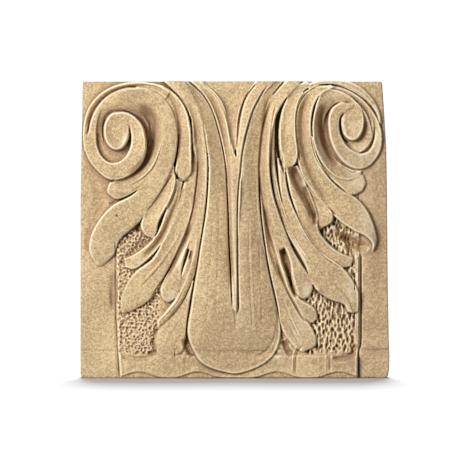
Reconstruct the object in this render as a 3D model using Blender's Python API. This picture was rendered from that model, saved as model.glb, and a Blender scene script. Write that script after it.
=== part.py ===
# Frieze ornament: one cast stone block with two acanthus leaves in high relief.
# Each leaf rises beside a fluted stem, rolls over into a volute at its upper outer corner,
# and drops its lobes and curled tips over a sunk, punched ground above a scalloped foot.
# Metres, +Z up. The carved face looks towards -Y, and the block stands on its underside.

import bpy
import bmesh
import numpy as np

# The block
BLOCK_WIDTH = 0.3088
BLOCK_HEIGHT = 0.2965
LEFT_SIDE_LEAN = 0.00215
RIGHT_SIDE_LEAN = 0.00735
SLAB_THICKNESS = 0.040
RELIEF_DEPTH = 0.026

# The plain courses of the face
WING_BAND_HEIGHT = 0.0290
WING_BAND_RISE = 0.0010
FIELD_WIDTH = 0.2420
FIELD_SHIFT = 0.0037
FIELD_HEIGHT = 0.1560
FIELD_RISE = 0.0030
FOOT_HEIGHT = 0.0230
FOOT_RISE = 0.0044
FOOT_SLOPE = 0.0040
SCALLOP_HEIGHT = 0.0060
SCALLOP_REACH = 0.0190
SCALLOP_FLOOR = 0.0006
RIDGE_WIDTH = 0.0030
RIDGE_RISE = 0.0014

# The carving is set out on a full-size drawing, across and down in millimetres.
# Its heights above the plain face are for carving DRAWING_RELIEF tall.
DRAWING_CENTRE = 234.8
DRAWING_FOOT = 378.0
DRAWING_WIDTH = 308.8
DRAWING_HEIGHT = 296.5
DRAWING_RELIEF = 26.0
RELIEF_SCALE = RELIEF_DEPTH / DRAWING_RELIEF

# How the forms are made: how far they run into the slab and widen there, how full their
# sections are, and how far what is sawn off runs past the block
SINK = 0.012
FOOT_SPREAD = 0.0006
FULLNESS = 0.7
MERGE_DISTANCE = 0.00005
FOOT_STATIONS = 36
OVERSIZE = 0.010
EYE_SEGMENTS = 16
EYE_RINGS = 8

MATERIAL_NAME = "sandstone cast"
STONE_COLOUR = (0.56, 0.42, 0.26, 1.0)

# One carved form: its two edges from root to tip, the heights of each edge and of its
# crown spread evenly from root to tip, how full its section is, and its stations.
STEM = {
    "stem left": dict(
        left=[(182, 78), (199, 113), (208, 155), (207, 200), (199, 256), (190.5, 310),
              (192, 332), (200, 348)],
        right=[(184, 78), (207, 99), (222, 141), (228, 200), (230, 255), (232, 300),
               (235, 328), (236, 348)],
        low_left=[9, 10, 11, 11, 12, 12, 11, 6], low_right=[9, 12, 15, 16, 18, 20, 19, 8],
        crown=[3, 4, 4, 4, 5, 6, 6, 3], stations=15, across=6),
    "stem right": dict(
        left=[(280, 78), (260, 98), (246, 134), (239, 190), (237.6, 250), (238, 300),
              (236, 328), (235.5, 347)],
        right=[(286, 78), (269, 102), (260, 145), (259, 200), (266, 258), (275, 305),
               (275, 330), (268, 347)],
        low_left=[9, 12, 15, 16, 18, 20, 19, 8], low_right=[9, 10, 11, 11, 12, 12, 11, 6],
        crown=[3, 4, 4, 4, 5, 6, 6, 3], stations=15, across=6),
    "spoon": dict(
        left=[(201, 262), (193, 298), (188, 335), (203, 364), (233, 374)],
        right=[(265, 262), (274, 298), (278.5, 335), (263, 365), (239, 374)],
        low_left=[3, 6, 11, 10, 5], low_right=[3, 6, 11, 10, 5],
        crown=[6, 11, 13, 11, 2], stations=14, across=8),
    "tongue": dict(
        left=[(186, 78), (207, 99), (222, 141), (228, 200), (230, 255), (233, 308)],
        right=[(196, 78), (221, 101), (231, 142), (240, 174), (238, 240), (237.6, 285),
               (236.5, 313)],
        low_left=[8, 11, 15, 17, 19, 20], low_right=[7, 10, 13, 17, 19, 20],
        crown=[3, 4, 4, 4, 3, 1], stations=13, across=5),
    "tongue right": dict(
        left=[(262, 78), (247, 96), (239, 122), (234.5, 153), (238, 178)],
        right=[(280, 78), (260, 98), (246, 134), (240.5, 174), (239.5, 182)],
        low_left=[7, 9, 11, 13, 15], low_right=[8, 11, 14, 16, 17],
        crown=[3, 4, 4, 4, 1], stations=11, across=5),
}
LEFT_LEAF = {
    "outer band": dict(
        left=[(88, 157), (83.3, 138), (86, 115), (98, 95), (120, 84), (145, 78), (165, 82),
              (181, 100), (189.5, 118), (190.5, 145), (192.5, 168), (190, 178), (184, 181.5)],
        right=[(92, 152), (88.5, 138), (90.5, 120), (103, 100), (122, 89.5), (140, 87),
               (157, 90.5), (170, 102), (177.5, 124), (177.5, 147), (175, 166), (178, 177),
               (184, 181.5)],
        low_left=[9, 8, 8, 8, 9, 11, 13, 15, 16, 16, 12],
        low_right=[7, 6, 6, 6, 8, 11, 14, 15, 16, 16, 12],
        crown=[-1, -1, -1, -1, 1, 3, 5, 6, 7, 6, 3], stations=20, across=5),
    "rib": dict(
        left=[(164, 78), (186, 102), (198, 128), (199, 165), (190, 220), (180, 248)],
        right=[(182, 78), (199, 113), (207, 148), (207, 190), (199, 250)],
        low_left=[9, 11, 12, 11, 10, 9], low_right=[9, 11, 12, 12, 11, 10],
        crown=[4, 5, 5, 5, 4, 3], stations=12, across=5),
    "outer blade": dict(
        left=[(134, 87), (150, 97), (160, 119), (162.5, 140), (154, 170), (135, 194),
              (112, 206), (93, 229), (90, 252), (98, 265)],
        right=[(138, 85.5), (157, 90.5), (170, 102), (177.5, 124), (176, 153), (163, 184),
               (141, 220), (118, 241), (114, 254), (106, 266)],
        low_left=[15, 16, 16, 15, 12, 9, 6, 3], low_right=[14, 15, 15, 14, 13, 10, 7, 2],
        crown=[1, 4, 6, 6, 6, 6, 5, 2], stations=17, across=6),
    "small lobe": dict(
        left=[(161, 138), (149, 171), (125, 184), (110, 182), (107, 190)],
        right=[(163, 146), (151, 178), (130, 196), (115, 198), (108, 194)],
        low_left=[12, 12, 10, 8, 6], low_right=[12, 12, 9, 7, 5],
        crown=[1, 3, 4, 4, 2], stations=10, across=6),
    "second finger": dict(
        left=[(173, 165), (161, 191), (145, 214), (141, 226), (148, 237)],
        right=[(176, 170), (171, 198), (158, 222), (157, 232), (153, 238)],
        low_left=[12, 13, 13, 12, 8], low_right=[12, 13, 13, 12, 8],
        crown=[2, 4, 4, 4, 2], stations=11, across=5),
    "second lobe": dict(
        left=[(178, 176), (168, 206), (155, 234), (140, 251), (126, 262)],
        right=[(184, 176), (174, 212), (152, 254), (136, 267), (127, 266)],
        low_left=[8, 8, 8, 7, 5], low_right=[11, 12, 11, 8, 5],
        crown=[0.5, 1, 2, 3, 2], stations=11, across=5),
    "third lobe": dict(
        left=[(190, 116), (190, 158), (174, 212), (150, 257), (128, 273), (119, 300),
              (121, 314)],
        right=[(199, 116), (199.5, 158), (189, 222), (165, 276), (148, 301), (128, 311),
               (121, 314)],
        low_left=[4, 6, 9, 9, 8, 7, 5], low_right=[5, 8, 9, 8, 6, 5, 4],
        crown=[1, 2, 3, 4, 4, 4, 2], stations=14, across=6),
    "third finger": dict(
        left=[(189, 236), (176, 260), (161, 282), (158, 294), (167, 303)],
        right=[(196, 240), (186, 262), (180, 285), (175, 297), (167, 303)],
        low_left=[9, 11, 12, 12, 8], low_right=[10, 12, 13, 12, 8],
        crown=[2, 3, 4, 5, 2], stations=11, across=5),
    "fourth lobe": dict(
        left=[(196, 240), (188, 271), (174, 301), (158, 319), (152, 325)],
        right=[(201, 240), (196, 275), (181, 307), (164, 327), (154, 329)],
        low_left=[9, 9, 8, 6, 4], low_right=[9, 9, 8, 6, 4],
        crown=[2, 3, 3, 3, 1], stations=10, across=5),
    "fifth lobe": dict(
        left=[(193, 280), (177, 314), (157, 334), (153, 346), (162, 359)],
        right=[(195, 280), (189, 318), (186, 341), (176, 356), (162, 359)],
        low_left=[8, 7, 6, 5, 5], low_right=[9, 9, 8, 6, 5],
        crown=[1, 3, 4, 4, 2], stations=11, across=6),
    "bowl": dict(
        left=[(88.5, 138), (90.5, 120), (103, 100), (122, 89.5), (137, 87.5), (150, 97),
              (160, 119), (162, 138), (152, 166), (130, 184), (110, 181)],
        right=[(97, 138), (102, 118), (118, 111), (134, 113), (145, 126), (147, 140),
               (140, 164), (124, 176), (110, 179)],
        low_left=[11, 13, 15, 16, 16, 15, 13, 10, 7], low_right=[8, 7, 5, 4, 3, 3, 4, 5, 6],
        crown=[1, 1, 1, 1, 1, 1, 1, 1, 0], stations=17, across=4),
    "roll": dict(
        left=[(93, 112), (88, 127), (84, 143), (91, 164), (112, 179.5), (134, 173),
              (146, 152), (144, 125), (124, 111.5), (107, 121), (104, 136), (112, 151)],
        right=[(102, 115), (95.5, 135), (100, 156), (113, 161), (126, 152), (131, 140),
               (127, 126), (119, 122), (113, 127), (112, 135), (116, 143)],
        low_left=[12, 13, 14, 14, 16, 18, 19, 20, 20, 19],
        low_right=[12, 13, 14, 15, 17, 18, 20, 21, 21, 21],
        crown=[1, 2, 2, 2, 2, 2, 2, 1, 1, 1], stations=21, across=5),
}
RIGHT_LEAF = {
    "outer band": dict(
        left=[(380, 155), (382, 132), (379.5, 112), (367, 91), (349, 81), (325, 77),
              (303, 80), (287, 96), (279.5, 120), (279.5, 150), (282, 166), (287, 170.5)],
        right=[(374, 150), (376.5, 132), (373.5, 117), (362, 100), (345, 89), (330, 85),
               (314, 88), (301, 101), (295, 122), (296.5, 150), (294, 165), (287, 170.5)],
        low_left=[9, 8, 8, 8, 9, 11, 13, 15, 16, 16, 12],
        low_right=[7, 6, 6, 6, 8, 11, 14, 15, 16, 16, 12],
        crown=[-1, -1, -1, -1, 1, 3, 5, 6, 7, 6, 3], stations=20, across=5),
    "rib": dict(
        left=[(288, 78), (269, 102), (260, 145), (259, 186), (266, 226), (274, 252)],
        right=[(300, 78), (279, 101), (271, 138), (271, 180), (281, 220), (291, 247)],
        low_left=[9, 11, 12, 12, 11, 9], low_right=[9, 11, 12, 11, 10, 9],
        crown=[4, 5, 5, 5, 4, 3], stations=12, across=5),
    "outer blade": dict(
        left=[(331, 84.5), (314, 88), (301, 101), (295, 124), (297, 150), (308, 176),
              (325, 203), (347, 224), (366, 235), (373, 243), (371, 252)],
        right=[(335, 86.5), (319, 98), (311.5, 117), (311.5, 138), (321, 168), (342, 191),
               (360, 201), (373, 225), (376, 242), (372, 252)],
        low_left=[14, 15, 15, 14, 13, 12, 10, 6], low_right=[15, 16, 16, 15, 12, 10, 9, 5],
        crown=[1, 4, 6, 6, 6, 6, 4, 1], stations=17, across=6),
    "small lobe": dict(
        left=[(312, 138), (322, 169), (344, 191), (357, 195), (362, 191)],
        right=[(313, 130), (326, 160), (349, 172), (364, 173), (365, 185)],
        low_left=[12, 12, 9, 7, 5], low_right=[12, 12, 10, 8, 6],
        crown=[1, 3, 4, 4, 2], stations=10, across=6),
    "second finger": dict(
        left=[(297, 158), (307, 182), (319, 203), (323, 218), (320, 228)],
        right=[(300, 158), (311, 182), (329, 207), (332, 218), (325, 228)],
        low_left=[12, 13, 13, 12, 8], low_right=[12, 13, 13, 12, 8],
        crown=[2, 3, 4, 4, 2], stations=11, across=5),
    "second lobe": dict(
        left=[(285.5, 168), (291, 197), (303, 227), (322, 253), (341, 267.5), (351, 264)],
        right=[(297, 163), (313, 194), (320, 215), (319, 235), (338, 252), (352, 258)],
        low_left=[11, 12, 12, 10, 8, 5], low_right=[5, 6, 7, 7, 7, 5],
        crown=[-1, -1, 0, 2, 3, 2], stations=14, across=6),
    "third lobe": dict(
        left=[(273, 114), (270, 160), (281, 220), (304, 263), (315, 288), (330, 299.5),
              (344, 304.5), (350, 313)],
        right=[(277, 114), (276, 170), (288, 221), (310, 258), (335, 285), (348, 301),
               (353, 312)],
        low_left=[5, 8, 9, 8, 6, 5, 4], low_right=[4, 6, 8, 9, 8, 7, 5],
        crown=[1, 2, 2, 3, 3, 3, 2], stations=14, across=5),
    "third lobe upper": dict(
        left=[(276, 166), (288, 221), (310, 258), (335, 285), (348, 301), (353, 312)],
        right=[(285.5, 168), (298, 217), (320, 251), (344, 269), (357, 294), (357, 309)],
        low_left=[6, 8, 9, 8, 7, 5], low_right=[9, 10, 9, 8, 7, 5],
        crown=[2, 3, 3, 3, 3, 2], stations=14, across=5),
    "third finger": dict(
        left=[(281, 238), (290, 262), (291, 283), (296, 294), (304, 299)],
        right=[(288, 238), (302, 260), (312, 280), (311, 294), (304, 299)],
        low_left=[9, 11, 12, 12, 8], low_right=[10, 12, 12, 12, 8],
        crown=[2, 3, 4, 5, 2], stations=11, across=5),
    "fourth lobe": dict(
        left=[(270, 236), (281, 273), (295, 305), (308, 321), (313, 323)],
        right=[(275, 236), (284, 272), (297, 297), (315, 309), (317, 318)],
        low_left=[9, 9, 8, 6, 4], low_right=[9, 9, 8, 6, 4],
        crown=[2, 3, 3, 3, 1], stations=11, across=5),
    "fifth lobe": dict(
        left=[(260.5, 208), (266, 256), (277, 303), (283, 331), (295, 348)],
        right=[(262.5, 208), (275, 255), (294, 303), (314, 332), (315.5, 345), (303, 352)],
        low_left=[10, 10, 9, 7, 5], low_right=[10, 9, 7, 6, 5, 5],
        crown=[1, 2, 3, 4, 2], stations=13, across=6),
    "bowl": dict(
        left=[(376, 136), (373.5, 116), (362, 100), (347, 90), (332, 86.5), (319, 98),
              (311.5, 117), (311.5, 138), (320, 164), (340, 176), (362, 174)],
        right=[(368, 138), (364, 117), (350, 102), (335, 103), (325, 114), (323, 130),
               (330, 152), (345, 167), (362, 171)],
        low_left=[11, 13, 15, 16, 16, 15, 13, 10, 7], low_right=[8, 7, 5, 4, 3, 3, 4, 5, 6],
        crown=[1, 1, 1, 1, 1, 1, 1, 1, 0], stations=17, across=4),
    "roll": dict(
        left=[(373, 108), (379, 121), (382, 138), (375, 159), (356, 170), (336, 159),
              (325, 137), (326, 115), (344, 102), (360, 111), (363, 127), (354, 140.5)],
        right=[(366, 107), (374, 130), (368, 150), (356, 151), (343, 141), (339, 127),
               (342, 116), (350, 113), (355, 119), (355, 127), (351, 134)],
        low_left=[12, 13, 14, 14, 16, 18, 19, 20, 20, 19],
        low_right=[12, 13, 14, 15, 17, 18, 20, 21, 21, 21],
        crown=[1, 2, 2, 2, 2, 2, 2, 1, 1, 1], stations=21, across=5),
}
# Each volute ends in a domed eye, the tallest of the carving: its centre, its half width
# and half length, and the height of its middle.
EYES = {
    "left eye": dict(centre=(117.3, 132.6), half=(12.2, 18.4), middle=17),
    "right eye": dict(centre=(352, 122), half=(11, 18.2), middle=17),
}
# Places across the drawing of the scallops under the foot and of the ridges on it.
SCALLOPS = (137, 199, 277, 338)
RIDGES = (144, 182, 292, 327)


def clear_scene():
    """Remove every object that the file opens with."""
    for item in list(bpy.data.objects):
        bpy.data.objects.remove(item, do_unlink=True)


def new_collection(name):
    """Add a collection to the scene."""
    collection = bpy.data.collections.new(name)
    bpy.context.scene.collection.children.link(collection)
    return collection


def across(x):
    """Turn a distance across the drawing into X."""
    return (x - DRAWING_CENTRE) * BLOCK_WIDTH / DRAWING_WIDTH


def up(y):
    """Turn a distance down the drawing into Z."""
    return (DRAWING_FOOT - y) * BLOCK_HEIGHT / DRAWING_HEIGHT


def smooth_line(points, count):
    """Run a smooth curve through drawn points and return evenly spaced places on it."""
    points = np.array(points, float)
    steps = np.sqrt(np.linalg.norm(np.diff(points, axis=0), axis=1))
    knots = np.concatenate([[0.0], np.cumsum(steps)])
    slopes = np.gradient(points, knots, axis=0)
    fine = np.linspace(0.0, knots[-1], 40 * len(points))
    span = np.clip(np.searchsorted(knots, fine, side="right") - 1, 0, len(knots) - 2)
    length = (knots[span + 1] - knots[span])[:, None]
    t = (fine - knots[span])[:, None] / length
    curve = ((1 + 2 * t) * (1 - t) ** 2 * points[span] + t * (1 - t) ** 2 * length * slopes[span]
             + t * t * (3 - 2 * t) * points[span + 1]
             + t * t * (t - 1) * length * slopes[span + 1])
    run = np.concatenate([[0.0], np.cumsum(np.linalg.norm(np.diff(curve, axis=0), axis=1))])
    even = np.linspace(0.0, run[-1], count)
    return np.stack([np.interp(even, run, curve[:, k]) for k in range(2)], axis=1)


def along(values, count):
    """Spread a few heights evenly from root to tip."""
    return np.interp(np.linspace(0, 1, count), np.linspace(0, 1, len(values)), values)


def form_sections(form):
    """Return the closed sections of one carved form as X, height above the face, Z."""
    count = form["stations"]
    left = smooth_line(form["left"], count)
    right = smooth_line(form["right"], count)
    share = ((1 - np.cos(np.linspace(0, np.pi, form["across"]))) / 2)[None, :]
    height = (along(form["low_left"], count)[:, None] * (1 - share)
              + along(form["low_right"], count)[:, None] * share
              + along(form["crown"], count)[:, None] * (4 * share * (1 - share)) ** FULLNESS)
    place = left[:, None, :] * (1 - share[..., None]) + right[:, None, :] * share[..., None]
    top = np.stack([across(place[..., 0]), height * RELIEF_SCALE, up(place[..., 1])], axis=-1)
    outward = top[:, 0] - top[:, -1]
    outward[:, 1] = 0.0
    reach = np.linalg.norm(outward, axis=1, keepdims=True)
    outward = outward / np.maximum(reach, MERGE_DISTANCE) * FOOT_SPREAD
    foot_left = top[:, 0] + outward
    foot_right = top[:, -1] - outward
    foot_left[:, 1] = -SINK
    foot_right[:, 1] = -SINK
    return np.concatenate([foot_left[:, None], top, foot_right[:, None]], axis=1)


def loft(name, sections, collection):
    """Join closed sections into one capped solid whose faces point out."""
    count, around = sections.shape[:2]
    points = sections.reshape(-1, 3)
    faces = []
    for i in range(count - 1):
        for j in range(around):
            k = (j + 1) % around
            faces.append((i * around + j, i * around + k,
                          (i + 1) * around + k, (i + 1) * around + j))
    faces.append(tuple(range(around)))
    faces.append(tuple((count - 1) * around + j for j in reversed(range(around))))
    mesh = bpy.data.meshes.new(name)
    mesh.from_pydata([(x, -height, z) for x, height, z in points], [], faces)
    shell = bmesh.new()
    shell.from_mesh(mesh)
    bmesh.ops.remove_doubles(shell, verts=shell.verts, dist=MERGE_DISTANCE)
    bmesh.ops.triangulate(shell, faces=shell.faces)
    bmesh.ops.recalc_face_normals(shell, faces=shell.faces)
    shell.to_mesh(mesh)
    shell.free()
    solid = bpy.data.objects.new(name, mesh)
    collection.objects.link(solid)
    return solid


def box(name, x_range, height_range, z_range, collection):
    """Make a plain block between limits of X, height and Z."""
    (x0, x1), (h0, h1), (z0, z1) = x_range, height_range, z_range
    ends = []
    for x in (x0, x1):
        ends.append([(x, h0, z0), (x, h1, z0), (x, h1, z1), (x, h0, z1)])
    return loft(name, np.array(ends), collection)


def block_limits(collection):
    """The sawn outline of the block, whose sides lean in towards its top, deep enough for all."""
    front = RELIEF_DEPTH + OVERSIZE
    ends = []
    for z, left_lean, right_lean in ((0.0, 0.0, 0.0),
                                     (BLOCK_HEIGHT, LEFT_SIDE_LEAN, RIGHT_SIDE_LEAN)):
        left = left_lean - BLOCK_WIDTH / 2
        right = BLOCK_WIDTH / 2 - right_lean
        ends.append([(left, -SLAB_THICKNESS, z), (right, -SLAB_THICKNESS, z),
                     (right, front, z), (left, front, z)])
    return loft("sawn block", np.array(ends), collection)


def eye_dome(name, eye, collection):
    """The eye of a volute, half of a flattened ball that stands in its roll."""
    shell = bmesh.new()
    bmesh.ops.create_uvsphere(shell, u_segments=EYE_SEGMENTS, v_segments=EYE_RINGS, radius=1.0)
    width = eye["half"][0] * BLOCK_WIDTH / DRAWING_WIDTH
    length = eye["half"][1] * BLOCK_HEIGHT / DRAWING_HEIGHT
    middle = eye["middle"] * RELIEF_SCALE
    for vertex in shell.verts:
        x, z, y = vertex.co
        vertex.co = (across(eye["centre"][0]) + x * width,
                     -middle - y * (RELIEF_DEPTH - middle),
                     up(eye["centre"][1]) + z * length)
    bmesh.ops.triangulate(shell, faces=shell.faces)
    bmesh.ops.recalc_face_normals(shell, faces=shell.faces)
    mesh = bpy.data.meshes.new(name)
    shell.to_mesh(mesh)
    shell.free()
    collection.objects.link(bpy.data.objects.new(name, mesh))


def foot_edge(x):
    """Height of the foot's lower edge at X, raised in a round scallop at each centre."""
    edge = SCALLOP_FLOOR
    for centre in SCALLOPS:
        reach = np.clip((x - across(centre)) / SCALLOP_REACH, -1, 1)
        edge += SCALLOP_HEIGHT * np.cos(reach * np.pi / 2) ** 2
    return edge


def foot_band(left_end, right_end, collection):
    """The plain foot of the field, its lower edge cut back in scallops."""
    sections = []
    for x in np.linspace(left_end, right_end, FOOT_STATIONS):
        edge = foot_edge(x)
        sections.append([(x, -SINK, -OVERSIZE), (x, FOOT_RISE - edge - OVERSIZE, -OVERSIZE),
                         (x, FOOT_RISE, edge), (x, FOOT_RISE, FOOT_HEIGHT - FOOT_SLOPE),
                         (x, FIELD_RISE / 2, FOOT_HEIGHT), (x, -SINK, FOOT_HEIGHT)])
    loft("foot band", np.array(sections), collection)


def build():
    """Carve the forms, join them to the slab and saw the block to size."""
    clear_scene()
    part = new_collection("frieze ornament")
    cutters = new_collection("cutters")
    forms = new_collection("carved forms")
    half = BLOCK_WIDTH / 2 + OVERSIZE
    left_end = FIELD_SHIFT - FIELD_WIDTH / 2
    right_end = FIELD_SHIFT + FIELD_WIDTH / 2
    for side, table in {"": STEM, "left ": LEFT_LEAF, "right ": RIGHT_LEAF}.items():
        for name, form in table.items():
            loft(side + name, form_sections(form), forms)
    for name, eye in EYES.items():
        eye_dome(name, eye, forms)
    box("field", (left_end, right_end), (-SINK, FIELD_RISE), (FOOT_HEIGHT / 2, FIELD_HEIGHT),
        forms)
    box("wing band", (-half, half), (-SINK, WING_BAND_RISE), (-OVERSIZE, WING_BAND_HEIGHT),
        forms)
    foot_band(left_end, right_end, forms)
    for number, x in enumerate(RIDGES):
        place = across(x)
        box("ridge %d" % number, (place - RIDGE_WIDTH / 2, place + RIDGE_WIDTH / 2),
            (-SINK, FOOT_RISE + RIDGE_RISE), (SCALLOP_HEIGHT, FOOT_HEIGHT - FOOT_SLOPE), forms)
    slab = box("frieze_block", (-half, half), (-SLAB_THICKNESS - OVERSIZE, 0.0),
               (-OVERSIZE, BLOCK_HEIGHT + OVERSIZE), part)
    limits = block_limits(cutters)
    joined = slab.modifiers.new("carving", "BOOLEAN")
    joined.operation = "UNION"
    joined.operand_type = "COLLECTION"
    joined.collection = forms
    joined.solver = "EXACT"
    joined.use_self = True
    sawn = slab.modifiers.new("sawn to size", "BOOLEAN")
    sawn.operation = "INTERSECT"
    sawn.object = limits
    sawn.solver = "EXACT"
    for item in list(forms.objects) + list(cutters.objects):
        item.hide_render = True
        item.display_type = "WIRE"
    for item in bpy.data.objects:
        item.location.y = (RELIEF_DEPTH - SLAB_THICKNESS) / 2
    stone = bpy.data.materials.new(MATERIAL_NAME)
    stone.use_nodes = True
    shader = stone.node_tree.nodes["Principled BSDF"]
    shader.inputs["Base Color"].default_value = STONE_COLOUR
    shader.inputs["Roughness"].default_value = 0.9
    shader.inputs["Metallic"].default_value = 0.0
    slab.data.materials.append(stone)


build()
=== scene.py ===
# Frieze ornament: one block of cast sandstone, two acanthus leaves rolled into volutes
# beside a fluted stem. The carving is a height map worked out from drawn forms, grooves
# and punch marks, and the block's mesh is read from that map.

import math

import bpy
import numpy as np
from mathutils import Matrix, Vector


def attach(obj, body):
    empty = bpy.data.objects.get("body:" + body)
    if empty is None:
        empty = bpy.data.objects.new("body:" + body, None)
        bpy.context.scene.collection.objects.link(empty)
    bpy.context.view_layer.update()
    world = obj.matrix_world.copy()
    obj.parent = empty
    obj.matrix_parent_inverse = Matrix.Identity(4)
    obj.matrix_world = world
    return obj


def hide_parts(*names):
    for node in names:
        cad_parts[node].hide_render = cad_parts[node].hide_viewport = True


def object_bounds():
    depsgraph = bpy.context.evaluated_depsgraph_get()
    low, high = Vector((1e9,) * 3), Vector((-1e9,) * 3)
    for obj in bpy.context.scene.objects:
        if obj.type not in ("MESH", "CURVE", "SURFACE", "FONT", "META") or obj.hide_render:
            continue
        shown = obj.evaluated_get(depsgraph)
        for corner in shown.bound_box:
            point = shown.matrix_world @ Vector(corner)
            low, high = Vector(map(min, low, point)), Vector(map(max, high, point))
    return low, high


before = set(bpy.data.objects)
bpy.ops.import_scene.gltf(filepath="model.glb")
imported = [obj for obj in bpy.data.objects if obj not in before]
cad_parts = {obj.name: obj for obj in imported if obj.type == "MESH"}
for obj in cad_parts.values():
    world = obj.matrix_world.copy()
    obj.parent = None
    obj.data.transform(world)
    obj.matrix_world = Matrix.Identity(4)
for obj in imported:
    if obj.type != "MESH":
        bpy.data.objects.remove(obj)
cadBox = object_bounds()
print("frame loaded")

# the drawing: full size, across and down in millimetres, heights above the plain face
sheet = {"left": 70.0, "top": 68.0, "width": 330.0, "height": 324.0, "step": 0.25,
         "centre": 234.8, "foot": 378.0}
mapShape = (int(sheet["height"] / sheet["step"]) + 1, int(sheet["width"] / sheet["step"]) + 1)
mapAcross, mapDown = np.meshgrid(sheet["left"] + sheet["step"] * np.arange(mapShape[1]),
                                 sheet["top"] + sheet["step"] * np.arange(mapShape[0]))

# how drawn lines are read: fine places for each point, stations along a form and along a
# groove, the gap between places in cells (under 1, so that no cell is missed), the width
# of a lip, and the fullness of a crown that states none
stroke = {"finePerPoint": 60, "formStations": 400, "grooveStations": 300, "gap": 0.7,
          "lipWidth": 1.5, "fullness": 0.7}


def onMap(across, down):  # places on the drawing in cells of the map, as column and row
    return (across - sheet["left"]) / sheet["step"], (down - sheet["top"]) / sheet["step"]


def edgeAt(points, down):  # how far across an upright edge, drawn as pairs, stands at a height
    across, at = np.reshape(points, (-1, 2)).T
    return np.interp(down, at, across)


# A cubic's shares at t from 0 to 1: its first end, the slope there, its second end and
# the slope there.
def cubicShares(t):
    return (1 + 2 * t) * (1 - t) ** 2, t * (1 - t) ** 2, t * t * (3 - 2 * t), t * t * (t - 1)


# A smooth line through drawn points: a cubic between each pair, its slopes taken over
# knots that grow with the square root of the distance, read again at even steps.
def smoothLine(points, count):
    points = np.reshape(points, (-1, 2)).astype(float)
    steps = np.sqrt(np.linalg.norm(np.diff(points, axis=0), axis=1))
    knots = np.concatenate([[0.0], np.cumsum(steps)])
    slopes = np.gradient(points, knots, axis=0)
    fine = np.linspace(0.0, knots[-1], stroke["finePerPoint"] * len(points))
    span = np.clip(np.searchsorted(knots, fine, side="right") - 1, 0, len(knots) - 2)
    length = (knots[span + 1] - knots[span])[:, None]
    start, leaving, end, arriving = cubicShares((fine - knots[span])[:, None] / length)
    curve = (start * points[span] + leaving * length * slopes[span]
             + end * points[span + 1] + arriving * length * slopes[span + 1])
    run = np.concatenate([[0.0], np.cumsum(np.linalg.norm(np.diff(curve, axis=0), axis=1))])
    even = np.linspace(0.0, run[-1], count)
    return np.stack([np.interp(even, run, curve[:, k]) for k in range(2)], axis=1)


def lineLength(line):  # the sum of its steps
    return np.linalg.norm(np.diff(line, axis=0), axis=1).sum()


# A few values spread evenly from root to tip, read at a share: a cubic between each pair
# whose slopes are the differences of their neighbours.
def spread(values, share):
    values = np.array(values, float)
    slopes = np.gradient(values)
    place = np.clip(share, 0, 1) * (len(values) - 1)
    k = np.minimum(place.astype(int), len(values) - 2)
    start, leaving, end, arriving = cubicShares(place - k)
    return start * values[k] + leaving * slopes[k] + end * values[k + 1] + arriving * slopes[k + 1]


# A strip between two lines put on the map: places run from the left line to the right
# one at even shares, and each cell takes the mean height of the places that fall in it.
def stampStrip(left, right, heightOf):
    gap = stroke["gap"] * sheet["step"]
    rows = int(max(lineLength(left), lineLength(right)) / gap) + 2
    left, right = (np.stack([np.interp(np.linspace(0, 1, rows), np.linspace(0, 1, len(line)),
                                       line[:, k]) for k in range(2)], axis=1)
                   for line in (left, right))
    width = np.linalg.norm(right - left, axis=1)
    columns = int(width.max() / gap) + 2
    u, v = np.linspace(0, 1, rows)[:, None], np.linspace(0, 1, columns)[None, :]
    place = left[:, None] * (1 - v[..., None]) + right[:, None] * v[..., None]
    height = np.broadcast_to(heightOf(u, v, width[:, None]), place.shape[:2])
    column, row = (np.rint(cells).astype(int) for cells in onMap(place[..., 0], place[..., 1]))
    inside = (row >= 0) & (row < mapShape[0]) & (column >= 0) & (column < mapShape[1])
    cell = row[inside] * mapShape[1] + column[inside]
    cells = mapShape[0] * mapShape[1]
    count = np.bincount(cell, minlength=cells)
    total = np.bincount(cell, weights=height[inside], minlength=cells)
    covered = count > 0
    return (covered.reshape(mapShape),
            np.where(covered, total / np.maximum(count, 1), 0.0).reshape(mapShape))


# A Gaussian blur of the given spread in millimetres, done on the map's frequencies.
def blurred(field, spreadMm):
    rows = np.fft.fftfreq(field.shape[0], sheet["step"])[:, None]
    columns = np.fft.rfftfreq(field.shape[1], sheet["step"])[None, :]
    keep = np.exp(-2 * (math.pi * spreadMm) ** 2 * (rows ** 2 + columns ** 2))
    return np.fft.irfft2(np.fft.rfft2(field) * keep, s=field.shape)


# Even random unevenness: white noise blurred to a grain and brought back to a spread of 1.
def unevenness(seed, grainMm):
    field = blurred(np.random.default_rng(seed).standard_normal(mapShape), grainMm)
    return (field - field.mean()) / field.std()


# A carved form's height: a straight run from its left edge's height to its right edge's,
# a crown over it that is (4 v (1 - v)) to the power of its fullness, highest midway, and
# a lip along each edge that falls off as exp(-(distance / lip width)^2), and towards root
# and tip as the square root of a sine.
def stampForm(form):
    left, right = (smoothLine(form[side], stroke["formStations"]) for side in ("left", "right"))

    def heightOf(u, v, width):
        low = spread(form["lowLeft"], u) * (1 - v) + spread(form["lowRight"], u) * v
        swell = np.clip(4 * v * (1 - v), 0, 1) ** form.get("full", stroke["fullness"])
        lips = sum(lip * np.exp(-(distance * width / stroke["lipWidth"]) ** 2)
                   for lip, distance in zip(form.get("lips", (0, 0)), (v, 1 - v)))
        return low + spread(form["crown"], u) * swell + lips * np.sin(math.pi * u) ** 0.5

    return stampStrip(left, right, heightOf)


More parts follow.
